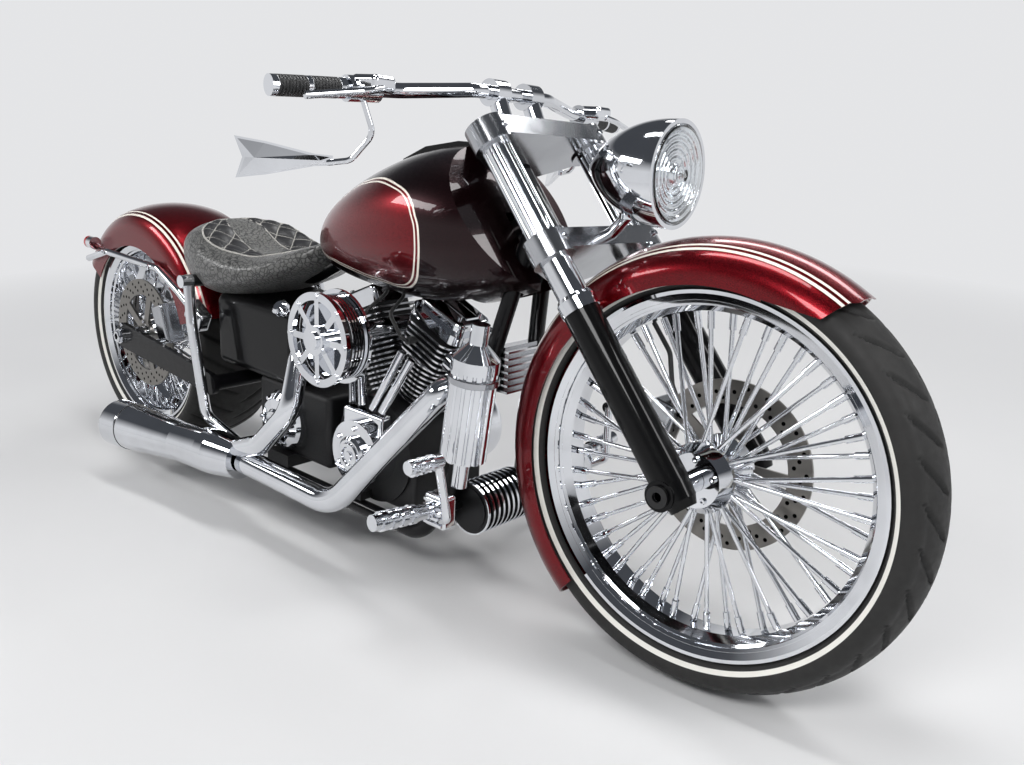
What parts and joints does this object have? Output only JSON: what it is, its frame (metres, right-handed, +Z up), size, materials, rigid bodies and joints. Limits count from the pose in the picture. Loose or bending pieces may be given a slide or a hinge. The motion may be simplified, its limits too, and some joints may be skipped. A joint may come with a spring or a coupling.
{
  "type": "chopper motorcycle",
  "caption": "Long, low custom motorcycle with a raked fork, a large fat-spoked front wheel, a wide rear tyre and an air-cooled V-twin, leaning on its side stand.",
  "frame": {"origin": "middle of the bike's box on the floor, parked on its side stand", "axes": "+X forward along the wheelbase, +Y to the rider's left, +Z up"},
  "size_m": [2.3796, 0.9496, 1.0063],
  "materials": {
    "belt_rubber": "matt",
    "black_gloss": "gloss",
    "cable_black": "satin cable sheath",
    "candy_red": "candy gloss",
    "chrome": "mirror",
    "fin_black": "satin black, machined fin edges",
    "frame_black": "gloss",
    "lamp_glass": "clear",
    "polished": "polished",
    "red_lens": "red lens",
    "seat_leather": "grained, quilted",
    "steel_disc": "drilled, brushed",
    "tyre_black": "rubber with a thin white stripe"
  },
  "bodies": {
    "chassis": {"air_cleaner": "chrome", "backbone": "frame_black", "cam_cover": "chrome", "chrome_canister": "chrome", "crankcase": "fin_black", "cylinders": "fin_black", "downtubes": "frame_black", "drive_belt": "belt_rubber", "drive_pulley": "chrome", "fender_struts": "chrome", "foot_controls": "chrome", "front_pipe": "chrome", "fuel_tank": "candy_red", "gearbox": "fin_black", "heads": "fin_black", "lower_rails": "frame_black", "muffler": "chrome", "oil_cap": "chrome", "oil_cooler": "fin_black", "oil_tank": "black_gloss", "plug_leads": "cable_black", "primary_cover": "chrome", "pushrod_tubes": "chrome", "rear_axle": "polished", "rear_caliper": "chrome", "rear_fender": "candy_red", "rear_pipe": "chrome", "rear_uprights": "chrome", "regulator": "fin_black", "rocker_boxes": "chrome", "seat": "seat_leather", "stand_mount": "frame_black", "swingarm": "frame_black", "tail_lamps": "red_lens", "tank_console": "black_gloss"},
    "steering": {"brake_hose": "cable_black", "fork_legs": "black_gloss", "fork_tubes": "chrome", "front_axle": "polished", "front_caliper": "chrome", "front_fender": "candy_red", "grips": "belt_rubber", "hand_controls": "chrome", "handlebar": "chrome", "headlamp_lens": "lamp_glass", "headlamp_shell": "chrome", "lower_tree": "polished", "mirrors": "chrome", "risers": "chrome", "top_tree": "polished"},
    "front_wheel": {"front_rim": "chrome", "front_rotor": "steel_disc", "front_spokes": "chrome", "front_tyre": "tyre_black"},
    "rear_wheel": {"rear_pulley": "chrome", "rear_rim": "chrome", "rear_rotor": "steel_disc", "rear_spokes": "chrome", "rear_tyre": "tyre_black"},
    "side_stand": {"side_stand": "chrome"}
  },
  "joints": [
    {"name": "steering", "type": "hinge", "parent": "chassis", "child": "steering", "pos_m": [0.76214, -0.04295, 0.32831], "axis": [-0.6342, 0.0539, 0.7713], "range_deg": [-33.7, 26.3]},
    {"name": "front_wheel_spin", "type": "hinge", "parent": "steering", "child": "front_wheel", "pos_m": [0.81615, -0.03535, 0.37219], "axis": [-0.0499, 0.9926, -0.1104], "continuous": true},
    {"name": "rear_wheel_spin", "type": "hinge", "parent": "chassis", "child": "rear_wheel", "pos_m": [-0.87378, -0.04389, 0.31598], "axis": [-0.0001, 0.9976, -0.0698], "continuous": true},
    {"name": "side_stand_fold", "type": "hinge", "parent": "chassis", "child": "side_stand", "pos_m": [0.21105, 0.11489, 0.09156], "axis": [0.0005, 0.7547, 0.6561], "range_deg": [0, 90]}
  ]
}
